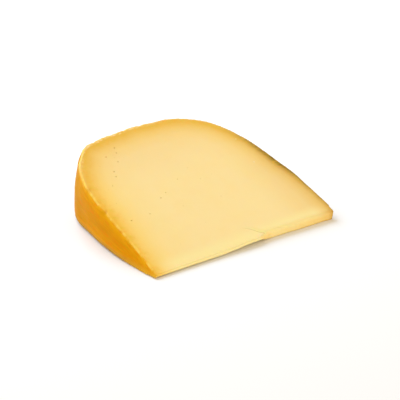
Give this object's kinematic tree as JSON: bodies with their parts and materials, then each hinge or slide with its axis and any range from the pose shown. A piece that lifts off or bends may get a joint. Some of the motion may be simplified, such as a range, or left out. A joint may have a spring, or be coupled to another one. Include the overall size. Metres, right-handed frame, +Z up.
{
  "type": "cheese wedge",
  "caption": "Thin wedge of pale yellow cheese lying on a cut face, with a nearly flat upper cut, a chipped thin edge, and an orange rind round its sides and rim.",
  "frame": {"origin": "middle of the box that holds the wedge, at the level of the flat lower cut that it lies on", "axes": "+X along the thin edge from its intact end to its chipped end, +Y from the thin edge to the rim, +Z up"},
  "size_m": [0.1128, 0.0976, 0.0371],
  "materials": {
    "cheese": "satin"
  },
  "bodies": {
    "root": {"cheese_wedge": "cheese"}
  },
  "joints": []
}
